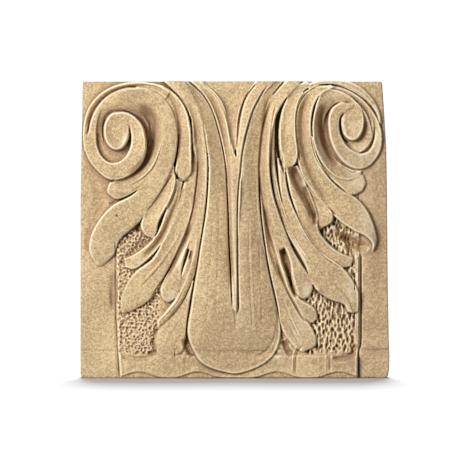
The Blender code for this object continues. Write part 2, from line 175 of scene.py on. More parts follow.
# A groove or a bead along a line: depth times a squared sine across it, faded in and out
# over a share of its length at each end. Each groove is its points, width and depth.
def stampLine(points, width, depth, fade=0.12):
    line = smoothLine(points, stroke["grooveStations"])
    along = np.gradient(line, axis=0)
    along /= np.linalg.norm(along, axis=1)[:, None]
    aside = np.stack([-along[:, 1], along[:, 0]], axis=1) * width / 2

    def heightOf(u, v, _):
        ends = np.clip(u / fade, 0, 1) * np.clip((1 - u) / fade, 0, 1)
        return -depth * np.sin(math.pi * v) ** 2 * np.sin(ends * math.pi / 2)

    return stampStrip(line - aside, line + aside, heightOf)[1]


# carved forms as drawn: two edges from root to tip as runs of across,down pairs, the
# heights of each edge and of the crown over them, and where they differ from the usual
# the crown's fullness, the heights of the two lips, and a soft blend into what is under it
stemForms = {
    "notch": dict(
        left=[196,78, 221,101, 231,142, 234,152],
        right=[262,78, 246,98, 238.6,126, 235.6,150],
        lowLeft=[6, 8, 11, 13], lowRight=[6, 8, 11, 13], crown=[-2, -3, -3, -1]),
    "stem left": dict(
        left=[182,78, 199,113, 208,155, 207,200, 199,256, 190.5,310, 190,332, 196,350],
        right=[184,78, 207,99, 222,141, 228,200, 230,255, 232,300, 235,328, 236,350],
        lowLeft=[14, 16, 16.5, 15.5, 14.5, 12.5, 9.5, 4],
        lowRight=[8, 9, 10, 11.5, 13, 13.5, 10, 5],
        crown=[-1, -1.4, -1.4, -0.4, 1.4, 2.6, 2.4, 1.5], lips=(0, 0.6)),
    "stem right": dict(
        left=[280,78, 260,98, 246,134, 239,190, 237.6,250, 238,300, 236,328, 235.5,350],
        right=[286,78, 269,102, 260,145, 259,200, 266,258, 275,305, 277,330, 272,350],
        lowLeft=[10, 13, 15.5, 16, 16.5, 15.5, 10.5, 5], lowRight=[9, 9, 9, 9.5, 9.5, 8, 5.5, 3],
        crown=[-0.4, -0.6, -0.6, 0.2, 1.6, 2.6, 2.4, 1.5], lips=(0, 1.0)),
    "spoon": dict(
        left=[201,262, 193,298, 188,335, 203,364, 233,373.6],
        right=[265,262, 274.6,298, 280.2,335, 268,361, 239,373.6],
        lowLeft=[3, 8, 10, 8, 6], lowRight=[3, 4.5, 3, 1.6, 3], crown=[4, 6, 5, 2.6, 0.5], full=0.5,
        blend=4.0),
    "tongue": dict(
        left=[186,78, 207,99, 222,141, 228,200, 230,255, 233,308],
        right=[197,78, 221,101, 231,142, 240,174, 238,240, 237.6,285, 236.5,313],
        lowLeft=[9, 12.5, 16, 17, 17, 15], lowRight=[10, 13.5, 16, 17.5, 17, 15.5],
        crown=[-0.4, -0.6, -0.2, 0.6, 1, 0.5], lips=(0, 1.2)),
    "tongue right": dict(
        left=[258,78, 247,95, 239.6,120, 236,146, 238,176],
        right=[280,78, 260,98, 246,134, 240.5,174, 239.5,182],
        lowLeft=[9, 10, 12, 14, 16], lowRight=[11, 14, 16.5, 17.5, 17], crown=[0.3, 0.5, 1, 1, 0.5],
        lips=(0.4, 0.4)),
}
leftLeafForms = {
    "outer band": dict(
        left=[84.6,152, 83.2,138, 84,124, 87.4,111, 94,100.4, 104,91.6, 116,85.8, 130,82.8,
            145,82.6, 158,86, 170,92.6],
        right=[86,150, 86.8,138, 89.4,122, 94.4,111.5, 100.4,102.4, 108,96, 120,90, 133,87,
            146,88.4, 157,92.6, 166,99.6],
        lowLeft=[6, 6.5, 7, 8, 10, 12, 13, 14, 15, 15.5, 16],
        lowRight=[5, 5, 5, 5.5, 6.5, 8, 9.5, 10.5, 12, 13.5, 15],
        crown=[0, -0.3, -0.5, -0.6, -0.6, -0.6, -0.5, -0.5, -0.5, -0.5, -1], lips=(0.4, 0)),
    "rib": dict(
        left=[160,78, 180,98, 190,118, 191,142, 197,162, 197,184, 189,218, 181.6,246],
        right=[182,78, 199,113, 207,148, 207,190, 199,254],
        lowLeft=[13, 13.5, 12.5, 11.5, 11.5, 11, 10, 6], lowRight=[12, 14.5, 16, 16, 14.5, 9],
        crown=[2, 2, 0.5, 0.3, 1, 1.2, 0.5], full=0.8, lips=(0, 0.6)),
    "outer blade": dict(
        left=[134,89, 149,93, 158,103, 162.5,120, 163,138, 156,166, 135,193, 112,206, 98,222,
            90.5,238, 89.6,252, 97,265.6],
        right=[138,86.5, 152,89.4, 165,98.4, 172.6,110, 177.4,126, 177.4,146, 172.4,168, 158,196,
            141,220, 119,241, 114,254, 102,266.4],
        lowLeft=[14, 14.5, 15, 15, 14.5, 13.5, 12, 10.5, 8.5, 7, 5, 2],
        lowRight=[14, 14, 14, 14, 14, 14, 13.5, 12, 9, 6.5, 4, 1],
        crown=[0.5, 0.6, 0.6, 0.6, 0.6, 0.8, 1, 1, 1, 1, 0.8, 0.3], full=0.6, lips=(0.4, 0)),
    "first finger": dict(
        left=[150,87.5, 160,93.6, 169,103.5, 175,116, 178,130, 178.4,146, 176,160, 175.2,170,
            178.4,178, 184,181.5],
        right=[152,83.5, 164,86.6, 175,94, 183,103.6, 188.4,116, 190.6,130, 191.2,146, 191.6,162,
            190.6,174, 184,181.5],
        lowLeft=[14, 13, 12, 11.5, 11, 11, 11.5, 9], lowRight=[13, 14, 15, 16.4, 17, 17, 16.5, 9],
        crown=[0, -0.6, -1, -1.4, -1.6, -1.6, -1, 2], lips=(0, 0.8)),
    "small lobe": dict(
        left=[161.4,138, 156,156, 148,170, 136,180.4, 122,185, 110.4,182.4, 107,190],
        right=[165,146, 160.6,162, 153,175.6, 142.6,186.6, 129,195, 116.6,199.2, 108,194],
        lowLeft=[14, 12, 10.5, 9, 8, 7, 6], lowRight=[14.5, 14, 13, 12, 10.5, 7.5, 4],
        crown=[0.2, 0.2, 0.5, 1, 2, 3, 2], full=0.6),
    "second finger": dict(
        left=[173,165, 161,191, 146,213, 141,225, 145,234.4, 153,238.6],
        right=[177,170, 174,190, 166,208, 158.6,222, 156.6,232, 154,238.6],
        lowLeft=[12, 11.5, 11, 10.5, 10, 6], lowRight=[13, 14, 14, 13.5, 12, 7],
        crown=[0, -1.2, -2, -2, -1, 1], lips=(0.4, 0.4)),
    "second lobe": dict(
        left=[177,178, 168,204, 157,234, 146,246, 133,255, 124,259],
        right=[184,178, 176,212, 163,241, 150,257, 134,269, 126,267],
        lowLeft=[12, 12, 11.5, 10, 8, 5.5], lowRight=[12, 13, 12, 10, 7.5, 5],
        crown=[-1.5, -2.5, -2.5, -2, -1.2, -0.5], full=0.8, lips=(0, 0.6)),
    "third lobe": dict(
        left=[191,144, 188,168, 174,212, 154,257, 136,271.6, 124.4,289, 120.6,303, 122,313],
        right=[193.4,144, 198,164, 189,222, 165,276, 150,299, 130,311.4, 122,313],
        lowLeft=[8, 11, 12, 11.5, 10, 7, 4, 3], lowRight=[9, 11, 10.5, 9, 7.5, 6, 4.5, 2.5],
        crown=[0, -0.6, -1.4, -1.8, -1.2, 0, 1, 1], full=0.8, lips=(0, 0.3)),
    "third finger": dict(
        left=[189.4,222, 182,242, 172,264, 163.6,281, 160.6,290, 163,299, 168,302.6],
        right=[195,222, 188,246, 183,263, 180.4,280, 179.4,291, 175,298.6, 168,302.6],
        lowLeft=[8, 8.8, 9, 8.8, 8.4, 7.4, 4.6], lowRight=[10, 10.4, 10, 9.6, 9, 8, 4.6],
        crown=[0, 0, 0.5, 0.5, 0, 1, 1], full=0.6),
    "finger hollow": dict(
        left=[190.6,246, 187.6,257, 182,273, 178.6,290],
        right=[194,246, 193.4,258, 190,275, 182,293],
        lowLeft=[9.4, 9, 8.6, 8.2], lowRight=[9.4, 9, 8.6, 8.2], crown=[-0.5, -0.5, -0.5, 0]),
    "fourth lobe": dict(
        left=[197.6,222, 194,250, 190,267, 184,283, 176,298, 166,311, 157,321],
        right=[203,222, 199,252, 195.6,272, 189,288, 181.6,303, 171.6,316, 158,329],
        lowLeft=[10, 12, 11, 10, 9, 8, 6], lowRight=[11, 11, 9.5, 8.5, 7.5, 6.5, 4.5],
        crown=[0.5, 1, 1, 1, 1.5, 1.5, 1], lips=(0.5, 0)),
    "fifth lobe": dict(
        left=[193,280, 184,300, 173,315, 159,329, 154.4,344, 160,357.6],
        right=[194,280, 190,300, 187,320, 185,338, 181.6,352, 172,357],
        lowLeft=[8, 7, 5.6, 4.4, 3.6, 3], lowRight=[9, 8.6, 8, 6.4, 4.4, 3],
        crown=[0.5, 0.6, 0.8, 1.2, 1.6, 1.4], full=0.5),
    "bowl": dict(
        left=[90,134, 92,122, 97,111.5, 104,103, 112,97, 121,92, 131,89.6, 141,90.2, 151,94,
            157.6,102, 161.4,113, 163.2,126, 162.8,140, 158.6,155, 151,170, 138,181, 124,186.4,
            112,184],
        right=[104,134, 104,122, 107.5,116, 112,112.6, 117,111.4, 122,111, 127,111.6, 132,113.4,
            137,117, 141,121.4, 144,127, 146,134, 146.5,142, 145,151, 141,160.6, 134,169.6,
            125,176.4, 114,180],
        lowLeft=[7, 8, 10, 12.5, 13.6, 14, 14.5, 15, 15, 15, 14.5, 13, 10.5, 8],
        lowRight=[4.5, 4.5, 5.5, 8, 7.5, 4, -1, -3, -1.5, 2, 4.5, 6, 6, 6.5],
        crown=[0, 1, 1.8, 2, 2, 1.5, 0.5, 0, 0, 0, 0, 0, 0, 0], lips=(0.7, 0)),
    "roll": dict(
        left=[150,91, 140,88.4, 130,87.8, 120,90, 110,94.6, 101.4,101.8, 94.6,111.6, 90.4,122,
            88.4,132, 84.4,145, 89,160, 98,171.4, 109,179.4, 122,179, 134.4,172, 142.6,162,
            146.4,149.4, 145.8,137, 142.8,126, 136.4,118, 127.6,112.8, 117,112.4],
        right=[150,94, 140,91.4, 130,91.4, 120.6,94, 112.4,99, 105.4,105.6, 100,114, 97.2,124,
            96.4,136, 98,148, 103,157.4, 110.6,162.6, 119,162, 125.8,156.8, 130.4,148, 131.8,139,
            130.6,131, 127.6,124.6, 122.6,119.4, 116,117],
        lowLeft=[14.4, 14.2, 13.6, 11.6, 9, 7, 6, 6.5, 8.5, 11, 14, 16, 17, 17.5, 17.5, 17],
        lowRight=[14.2, 13.8, 13, 11.4, 10, 9.6, 9.6, 10, 11, 12.5, 14, 14.6, 15, 15.6, 16.2, 16.6],
        crown=[0, 0, 0, 0.3, 1, 1.4, 1.4, 1.4, 1, 0.6, 0.2, -0.6, -1, -1, -0.6, 0],
        lips=(0.3, 0.3)),
}
rightLeafForms = {
    "outer band": dict(
        left=[381.8,124, 379.8,113, 374.4,101.4, 366,91.6, 356,84.6, 345,81, 332,79.6, 318,81,
            306,85],
        right=[379.4,123, 375.6,112.6, 368.6,103.4, 360,95.8, 350,90, 340,86.2, 330,84.6, 319,85.6,
            309,90],
        lowLeft=[1, 1.5, 2, 3, 4.5, 6.5, 9, 12, 14.5],
        lowRight=[3, 3.5, 4, 5, 6.5, 8, 10, 12.5, 14.5],
        crown=[0, -0.3, -0.5, -0.6, -0.6, -0.5, -0.5, -0.5, -0.5], lips=(0.4, 0)),
    "rib": dict(
        left=[288,78, 269,102, 262,130, 258.6,165, 262,205, 274,254],
        right=[306,78, 289,95, 277,114, 270.6,140, 270.6,180, 279.6,216, 291,244],
        lowLeft=[11, 11, 10.5, 10.5, 10.5, 7], lowRight=[13, 14.5, 15.5, 15.5, 14.5, 13, 7],
        crown=[1, 1, 0.5, 0.8, 1, 1, 0.5], full=0.8, lips=(0, 0.9)),
    "outer blade": dict(
        left=[331,85.5, 316,86.6, 302,94, 295.4,107, 294,128, 296,152, 302,174, 315,195, 334,216,
            352,229.6, 365,236, 372,243, 372.4,251],
        right=[335,87.5, 322,93, 314.6,104, 311.4,118, 311.4,134, 315.6,154, 326,174, 342,190.4,
            357,198.6, 368,212, 374.4,228, 376.6,241, 373,251.6],
        lowLeft=[14, 15, 15.5, 15.5, 14.5, 12.5, 10, 8, 6.4, 5.8, 5.4, 4.8, 3],
        lowRight=[14.5, 15.5, 16.5, 17, 16, 14, 11.5, 8.4, 5.8, 4.4, 3.8, 3, 1.6],
        crown=[0, -2, -3.4, -4, -3.6, -2.4, -1.2, -0.2, 0.6, 1.2, 1.4, 1.4, 0.5], lips=(0.8, 0.3)),
    "first finger": dict(
        left=[306,81, 296,87, 288,96.5, 282.6,108, 279.6,120, 278.8,134, 279.6,150, 281.8,164,
            287,170.5],
        right=[312,86, 304,91.4, 298.6,100, 295.6,111, 294.8,124, 295.6,138, 297.2,152, 295.4,163.4,
            287,170.5],
        lowLeft=[14, 14, 14, 14, 14, 14, 13.6, 12.6, 8],
        lowRight=[14, 14.6, 15.4, 16, 16.4, 16.4, 16, 13.6, 8],
        crown=[0, -1.4, -2.6, -3.4, -3.8, -3.8, -3.4, -1.6, 2], lips=(0, 1.0)),
    "small lobe": dict(
        left=[310,132, 312.4,149, 319,163.6, 328.6,176.6, 340,187.4, 352,195, 362,191],
        right=[312.5,138, 317,152, 325,165.6, 337,175.6, 350,179, 362,174.6, 366,183],
        lowLeft=[14, 11.5, 9.4, 7.6, 6.2, 4.4, 2.2], lowRight=[15, 11.5, 8, 5.4, 3.6, 2.2, 1.2],
        crown=[0.2, 0.2, 0.3, 0.5, 0.8, 1, 1], full=0.6),
    "second finger": dict(
        left=[295,160, 301,176, 307,191, 312.4,204, 315.4,216, 316,228],
        right=[298,160, 304,178, 313.6,194, 331,211, 332,221, 320,229],
        lowLeft=[6, 4, 3, 3, 4, 3], lowRight=[12, 12, 12, 11, 8, 4],
        crown=[-2.5, -3.5, -4, -3, 0.5, 1], lips=(0, 0.5)),
    "second lobe": dict(
        left=[285.5,170, 291,197, 303,227, 322,253, 339,267.5, 351,266],
        right=[297,165, 311,196, 317,215, 319,231, 336,250, 353,258],
        lowLeft=[10, 9, 8.5, 7.5, 6, 3.5], lowRight=[9, 9, 10, 10, 8, 4.5],
        crown=[0.5, 0.5, 0.5, 0.5, 0.5, 0.5], lips=(0.8, 0)),
    "third lobe": dict(
        left=[272.6,116, 270,160, 281,220, 304,263, 315,288, 330,299.5, 344,304.5, 348,312],
        right=[275,116, 275,166, 288,221, 310,258, 335,285, 348,301, 353,313],
        lowLeft=[7, 8.5, 8.6, 8.4, 8, 7, 5], lowRight=[8, 9.5, 11, 11, 10, 8.5, 5.5],
        crown=[0.3, 0.3, 0, 0, 0.3, 0.6, 0.6], full=0.6, lips=(0.5, 0)),
    "third lobe upper": dict(
        left=[277,158, 281,196, 290,226, 310,258, 335,285, 348,301, 353,313],
        right=[284,158, 288,192, 298,217, 320,251, 344,269, 358,292, 358,311],
        lowLeft=[9, 10, 9.5, 9, 8.5, 7, 4.5], lowRight=[9, 12, 12, 11, 9, 6.6, 4],
        crown=[0, 0, 0, 0, 0.3, 0.6], full=0.6, lips=(0, 0.4)),
    "third finger": dict(
        left=[275.6,226, 284,246, 290,262, 292,280, 293,290, 298,297, 304,299],
        right=[281,224, 292,248, 303,267, 313,282, 312.6,289, 309,296.6, 304,299],
        lowLeft=[9, 9.6, 10, 9.6, 9, 7, 4], lowRight=[9, 9.6, 9.4, 9, 8, 6, 3.6],
        crown=[0.3, 0.5, 0.5, 0.5, 0.5, 1, 1], full=0.6),
    "fourth lobe": dict(
        left=[265,222, 281,273, 295,305, 308,321, 313,323],
        right=[272,222, 285,271, 297,296, 315,309, 317,318],
        lowLeft=[8, 8, 7, 6, 4], lowRight=[10, 9.6, 8.4, 6.6, 4], crown=[0.5, 0.8, 0.8, 0.8, 0.5],
        lips=(0, 0.3)),
    "fifth lobe": dict(
        left=[259.5,186, 262,220, 268,262, 277,303, 283,331, 295,348],
        right=[261.5,186, 267,222, 278,264, 294,303, 314,332, 315.5,345, 303,352],
        lowLeft=[9, 8.4, 6.6, 5.6, 5.2, 4.6], lowRight=[9, 9.4, 8.4, 7, 6, 5, 4],
        crown=[0.3, 0.3, 0.3, 0.3, 0.5, 0.5], full=0.6, lips=(1.2, 0)),
    "bowl": dict(
        left=[372,138, 370.6,127, 366,114, 358,104, 348,95.6, 337,91, 327,90, 321,94, 317,101,
            314.2,111, 312.2,124, 312.8,138, 316.4,152, 324,166, 335,176.6, 348,180, 360,176],
        right=[364.6,138, 364.4,127, 362,115, 357,108, 350,103.6, 343,102.4, 336,104, 331,108,
            327,113, 325,120, 324.6,130, 326,140, 330,150, 336,159, 344,166, 353,170, 362,170.6],
        lowLeft=[5, 6, 8.4, 10.6, 12, 12.6, 13.4, 14.5, 15, 15.5, 15.5, 14.6, 11.6, 8.4, 5.4, 2.6],
        lowRight=[4, 4, 5.4, 7, 8, 9, 7, 3, 0, -2, -1, 1, 3.5, 4.4, 3.6, 2],
        crown=[0, 0, 0.6, 1, 1, 1, 1.4, 2, 2, 2, 1.5, 1, 0.5, 0, 0, 0], lips=(1.6, 0)),
    "roll": dict(
        left=[318,87.6, 328,86.2, 338,87.2, 348,90.4, 357,95.4, 365,102, 372,110.4, 377.6,120,
            381.4,132, 381.2,147, 377,157, 368,166.5, 357,169, 346,164.5, 337,155, 331,143,
            328.4,130, 328.4,118, 331.6,108.6, 341,102.8, 353,104.6],
        right=[318,90.5, 328,89.6, 337,91, 346,94.6, 354,99.6, 361,105.6, 367,113, 371.6,121.6,
            374.6,132, 373,144, 368.6,151, 361,153.6, 353,150.6, 346,145, 341.5,137, 339.4,128.6,
            340,120.6, 343,114.6, 347.6,110, 353,107.6],
        lowLeft=[14.4, 12.6, 9.6, 7, 5.2, 3.6, 2.4, 1.8, 2, 3.6, 6.4, 9, 10.6, 11, 11, 11],
        lowRight=[14, 12, 9, 6.4, 4.4, 3.2, 2.4, 2.2, 2.6, 4, 6.4, 8.6, 9.8, 10.4, 10.6, 10.8],
        crown=[0, 0, -0.3, -0.4, -0.4, -0.2, 0, 0.3, 0.5, 0.5, 0.5, 0.5, 0.4, 0, 0, 0],
        lips=(0.5, 0.5)),
}

# flat discs in the volutes, floor first and then the eye: centre, half width and half
# length, height, rise to the middle (a dish below 0), and how much its right side
# stands over its left
discs = {
    "left floor": {"centre": (116, 136), "half": (20, 27), "height": 5.6, "rise": 0.5, "tilt": 1.6},
    "left eye": {"centre": (116.8, 131.4), "half": (12.8, 19.0), "height": 16.4, "rise": -1.0,
                 "tilt": 0.8},
    "right floor": {"centre": (354, 128), "half": (20, 26), "height": 3.8, "rise": -0.5, "tilt": 0.5},
    "right eye": {"centre": (352.2, 121.8), "half": (11.6, 19.0), "height": 10.6, "rise": -1.2,
                  "tilt": 0.8},
}

# grooves and beads (negative depth) drawn on the finished forms: points, width, depth, and
# the share of the length over which each end fades where it isn't the usual
stemGrooves = [
    ([186,80, 196,88, 203.5,95.5, 212,110, 218.3,130, 223,150, 226.2,170, 227.2,190, 228,210,
      228.4,230, 229.2,250, 230.4,270, 231.3,290, 232,307], 2.4, 4.0, 0.06),
    ([196,86, 206,95, 214,108, 220,126, 224.4,147, 227,168, 228.6,195, 229.6,225, 230.6,255,
      231.6,285], 6.0, 2.6, 0.15),
    ([253,88, 247.6,95, 243.6,103, 241,112, 239,122, 238,132, 236.8,142], 5.0, 2.0, 0.15),
    ([273,96, 268,106, 265.5,118, 264.5,130, 263,145, 262,160, 261.8,175, 262.6,190, 264,205,
      266,220, 268.4,235, 271.5,250, 276,264, 281,276, 287,287], 9.0, 4.6),
    ([203,90, 211.6,99, 218.6,114, 223.6,132, 226.6,152, 228.4,175, 229.2,200, 230,230, 231,260,
      232,290], 8.0, 4.4, 0.08),
    ([268,86, 262.6,93, 253.4,110, 248.4,125, 244.6,140, 242,155, 240.3,172, 238.2,192, 237.4,212,
      237.4,240, 237.6,270, 238.0,295, 238.6,312], 3.0, 4.6, 0.05),
    ([203,84, 211,91, 218,99, 223,108, 226.4,119, 229.2,132, 231.5,148], 2.0, 2.2, 0.05),
    ([256,84, 247.4,95, 242.4,107, 239.6,120, 238,133, 236.6,148], 2.6, 4.0, 0.06),
    ([241,104, 238.6,112, 237,122, 236,134, 235.2,146], 1.8, -1.6, 0.2),
    ([213.6,210, 211.5,250, 208.5,290, 206.5,325], 3.4, 0.4),
    ([219.6,190, 218.8,240, 217,290, 216,325], 3.6, 0.4),
    ([248.6,215, 249.2,260, 250.8,300, 252.5,335], 2.6, 0.5),
    ([250.6,225, 251.4,262, 253.2,300, 255,333], 2.2, -0.5),
    ([258.5,240, 260.6,275, 262.5,325], 2.4, 0.4),
    ([278.6,304, 279.4,318, 280,331, 278.8,343, 274,352.6, 266,360.6, 255.4,367, 243.6,371.6,
      232,372.6, 219,369.8, 206,363.6, 196.6,355, 190.8,344], 3.8, -1.5, 0.15),
    ([276.4,318, 275.4,334, 270.6,345, 262.6,353.4, 252,358], 4.0, 0.8, 0.2),
    ([268.6,353.4, 262,358.4, 254,361.6, 246,363], 6.0, -0.5, 0.3),
]
leftLeafGrooves = [
    ([88,128, 90,118.6, 94.6,109.4, 102,100.4, 111,93.4, 125,88, 140,86, 155,87.6, 165,92.6,
      173,100.4, 177.6,112, 179.6,126, 179.6,145, 177.6,158, 175.6,168], 6.0, 2.4, 0.08),
    ([189,103, 192,110, 195,118, 197.4,128, 198.6,140, 199.4,155, 199.8,170, 198.6,186, 196,202,
      193.2,216, 189,231, 183,246, 176,260, 169,273, 163,285], 8.6, 4.2),
    ([182,180, 181,192, 176,208, 169.6,222, 163,235, 154,248, 144,258], 9.0, 4.6, 0.15),
    ([176,172, 178.6,178, 184,181.6, 190,180], 5.0, 4.0, 0.25),
    ([192,222, 186.6,236, 180.6,250, 174,264, 166.6,277, 161,288], 6.0, 3.0, 0.2),
    ([184,98, 188.4,106, 192,115, 194.6,126, 196,138, 196.6,150], 5.6, 3.0, 0.25),
    ([140,107, 147,111.4, 152,119, 154,130, 153,144, 149,157, 141.6,168, 130,177], 14.0, 6.4, 0.25),
    ([203,122, 205.6,140, 207.4,155, 207.8,170, 207.6,186, 206.8,201, 205.4,215, 203,230, 199.8,249,
      197.2,268, 193.6,288, 190.2,309, 187.4,329, 187.4,344], 2.6, 3.0, 0.08),
    ([187.4,334, 188.6,342, 192.4,351, 199,359], 5.0, 2.6, 0.25),
    ([197.6,156, 198.2,163, 197.6,172, 195.9,189, 193,209, 187.2,229, 178.8,249, 169.2,269, 156,290,
      149.5,302], 3.0, 2.8, 0.1),
    ([185,180, 183,186, 179.5,200, 174.6,215, 168,230, 160.5,245, 150,259, 139,268], 1.8, 1.0),
    ([177.6,184, 171.8,201, 162.5,217, 158.4,230], 4.0, 1.2, 0.2),
    ([88.4,133, 90,121.6, 94.6,111, 100.8,102, 108.4,95.4, 120,89.4, 133,86.6, 146,88, 156,92.2,
      163.6,97.6, 172,109, 176.6,124, 178,141, 176.8,156, 174.4,168, 176.6,175, 180,180], 2.0, 1.9,
      0.03),
    ([175,172, 165,186, 155.2,200.6, 147,212], 2.0, 1.6, 0.15),
    ([170,84.6, 178,94, 184,102, 188.4,111, 190.8,120, 191.6,134, 192.6,150, 191.8,166], 2.2, 1.7,
      0.08),
    ([177,156, 175.8,164, 175,171, 176.4,177, 179.6,181], 2.4, 4.0, 0.2),
    ([106,118, 103.4,126, 103,134, 104.6,142], 2.4, 2.6, 0.2),
    ([190.4,116, 191.2,122, 191.6,128, 192.2,136], 2.6, 4.5, 0.25),
    ([154.4,105.6, 159,111, 162.4,120, 163.4,132, 161.8,146, 158,158], 1.5, 0.9, 0.15),
    ([152,173, 142,184.6, 131,192.6, 120,197], 1.8, 0.9, 0.2),
    ([126.8,123, 130,128, 131,134, 130.4,140.5, 127.6,146.6], 2.0, 1.6, 0.25),
    ([138,112, 145,116, 149.6,123, 151.4,131, 150.6,141, 147,151], 6.0, 3.0, 0.35),
    ([113.8,178.6, 114.6,182], 2.4, 2.0), ([109,203, 112,203.6, 115,201.4], 4.0, 1.6),
    ([138,222, 137.4,228, 139,234], 8.0, 2.6, 0.4),
    ([182,228, 175,242, 164.6,257.4, 154.4,270, 145.4,279.6, 137.6,287.4], 3.6, -0.9, 0.15),
    ([166.4,259, 156.6,271, 147.4,281, 140,288], 1.2, 0.7, 0.2),
    ([162.6,256.6, 152.8,268.4, 143.6,278], 1.2, 0.6, 0.2),
    ([181.5,333, 177.4,341, 173.4,348], 1.4, 0.5), ([178.5,322, 173,332, 168.8,342], 1.4, 0.5),
    ([174,318, 167,330, 163.8,340], 1.4, 0.4), ([174.9,348.5, 174.9,357], 1.8, 2.2),
    ([170.5,288.2, 174.4,289.6, 178.2,292.4], 1.4, 1.2),
    ([184.4,288, 178.8,300, 169.6,312, 160,322], 1.8, 1.0),
    ([191.4,250, 190.4,255, 189.4,260], 4.6, 5.0, 0.4),
]
rightLeafGrooves = [
    ([304.6,180, 311.4,191.4, 321,201.8, 331.4,210.6, 337,215.8], 2.4, 2.6, 0.15),
    ([285,262, 288.6,274, 291.4,284, 294,293], 7.0, 5.0, 0.3),
    ([289.4,276, 293,287, 296,297], 7.0, 6.0, 0.3),
    ([264.6,205, 269,222, 274,240, 279.6,257, 285,272], 8.0, 3.6, 0.2),
    ([304,186, 310,200, 314.4,212, 316,225], 9.0, 7.0, 0.15),
    ([279.4,150, 280.8,158, 282,166], 6.0, 7.0, 0.3),
    ([280.6,112, 280.2,122, 280.4,132], 6.0, 3.0, 0.35),
    ([294.6,167, 298.6,176, 302,184], 7.0, 4.0, 0.3),
    ([282,258, 286.6,274, 291,288, 297,299], 5.0, 4.0, 0.2),
    ([340,234, 350,240.6, 359,246, 367,249.4], 12.0, 6.0, 0.25),
    ([346,248, 354,247.4, 363,248.6], 13.0, 6.0, 0.25),
    ([311,94, 306,102, 303,111, 302,122, 302,135, 303.4,148, 306.6,161, 311,173, 317,184.6, 324,195,
      332,205], 10.0, 3.6, 0.15),
    ([344,112, 341,118, 341,126, 344,134], 4.6, 2.6, 0.25),
    ([272.6,97, 267.2,112, 263,127, 260.8,142, 259.6,157, 259,170, 260,185, 262.2,200, 265,215,
      268,230, 272.6,245, 277,260, 281,275, 287,290, 295,305, 303.8,319, 311,322], 4.0, 3.4, 0.08),
    ([261.6,243, 266,260, 269.4,275, 273,290, 276.6,305, 279.6,320, 281.6,334, 284.6,346], 2.2,
      1.8),
    ([278,100, 274,112, 271.6,127, 270,142, 269.5,157, 270,170, 271.6,185, 274.6,200, 279.8,215,
      285.4,230, 291.4,245, 299,259, 306,268], 2.4, 2.3),
    ([274.6,172, 276.2,186, 279.2,199, 283.6,213, 291.4,230, 300.2,245, 311,260, 324,275, 334,284],
      1.8, 1.7),
    ([285,175, 287.2,186, 291.2,200, 297,215, 304.4,230, 314.2,245, 326,258, 336,265.6, 343,269],
      2.6, 2.4, 0.08),
    ([281,103, 278.6,109, 277,115], 1.6, 1.0),
    ([277.4,112, 276.4,122, 276,134, 276.8,146, 279,157, 282.4,168, 285,176], 3.6, 5.6, 0.14),
    ([378.8,119, 374.8,110.6, 367.4,101.4, 357.6,93, 347,87.6, 335,84.8, 325,85, 315,88, 305.4,94.8,
      299.4,104, 296.4,112, 295.2,125, 296.2,140, 298,154, 300.6,163], 2.0, 1.7, 0.04),
    ([313.6,108, 311.2,118, 310.6,126, 311,138, 313.2,150, 317,160.6, 323.6,171, 332,180.6,
      342,189], 1.8, 2.8, 0.08),
    ([345,195, 355,200], 1.8, 0.7), ([358.6,194, 358.4,201], 2.0, 1.8),
    ([343.4,113.6, 340,119, 339.2,126, 340.4,133.4, 343.6,139.4, 349,143], 2.6, 5.6, 0.15),
    ([327,105, 321.8,111, 319.6,119, 319.8,128.4, 321.6,138, 325.4,148, 331.2,157, 338.6,165], 10.0,
      6.4, 0.25),
    ([291,166, 295.4,178, 300.6,189, 307,200, 312,210, 315.6,220], 13.0, 10.0, 0.18),
    ([306,262, 314,272, 323,281, 330,287], 1.4, 0.9),
    ([302.5,262, 311,274, 320,283.6, 327,289], 1.4, 0.7),
    ([300,232, 312,250, 324,266, 338,281], 3.0, -0.6),
    ([281,296, 287.4,311, 293,325, 300.4,340], 1.5, 0.7),
    ([284.4,300, 290,314, 295.6,327, 302,339], 1.6, -0.6),
    ([290,328, 294.6,337, 298,343], 1.4, 0.8), ([292,287, 297.4,284.6], 1.4, 1.2),
    ([292.4,289, 295.6,293.8, 301,298.6], 2.0, 2.2),
    ([282.6,247.5, 284.8,257, 287,268, 289.4,279, 291.6,289], 7.0, 5.6),
    ([282.8,249, 284.4,255], 6.0, 2.4, 0.3), ([312.8,284.6, 314,288.6], 3.0, 3.4),
    ([341.4,166.6, 347,169, 352.4,172.4, 357,171.6], 1.8, 1.7),
    ([337,227, 345,233, 354,239, 362,243.4, 369.4,248], 11.0, 5.0, 0.2),
    ([318,290, 326,299, 336,305, 344,309], 9.0, 3.0, 0.2),
    ([330,219, 340,227, 350,233.6], 5.0, 1.6, 0.3),
]
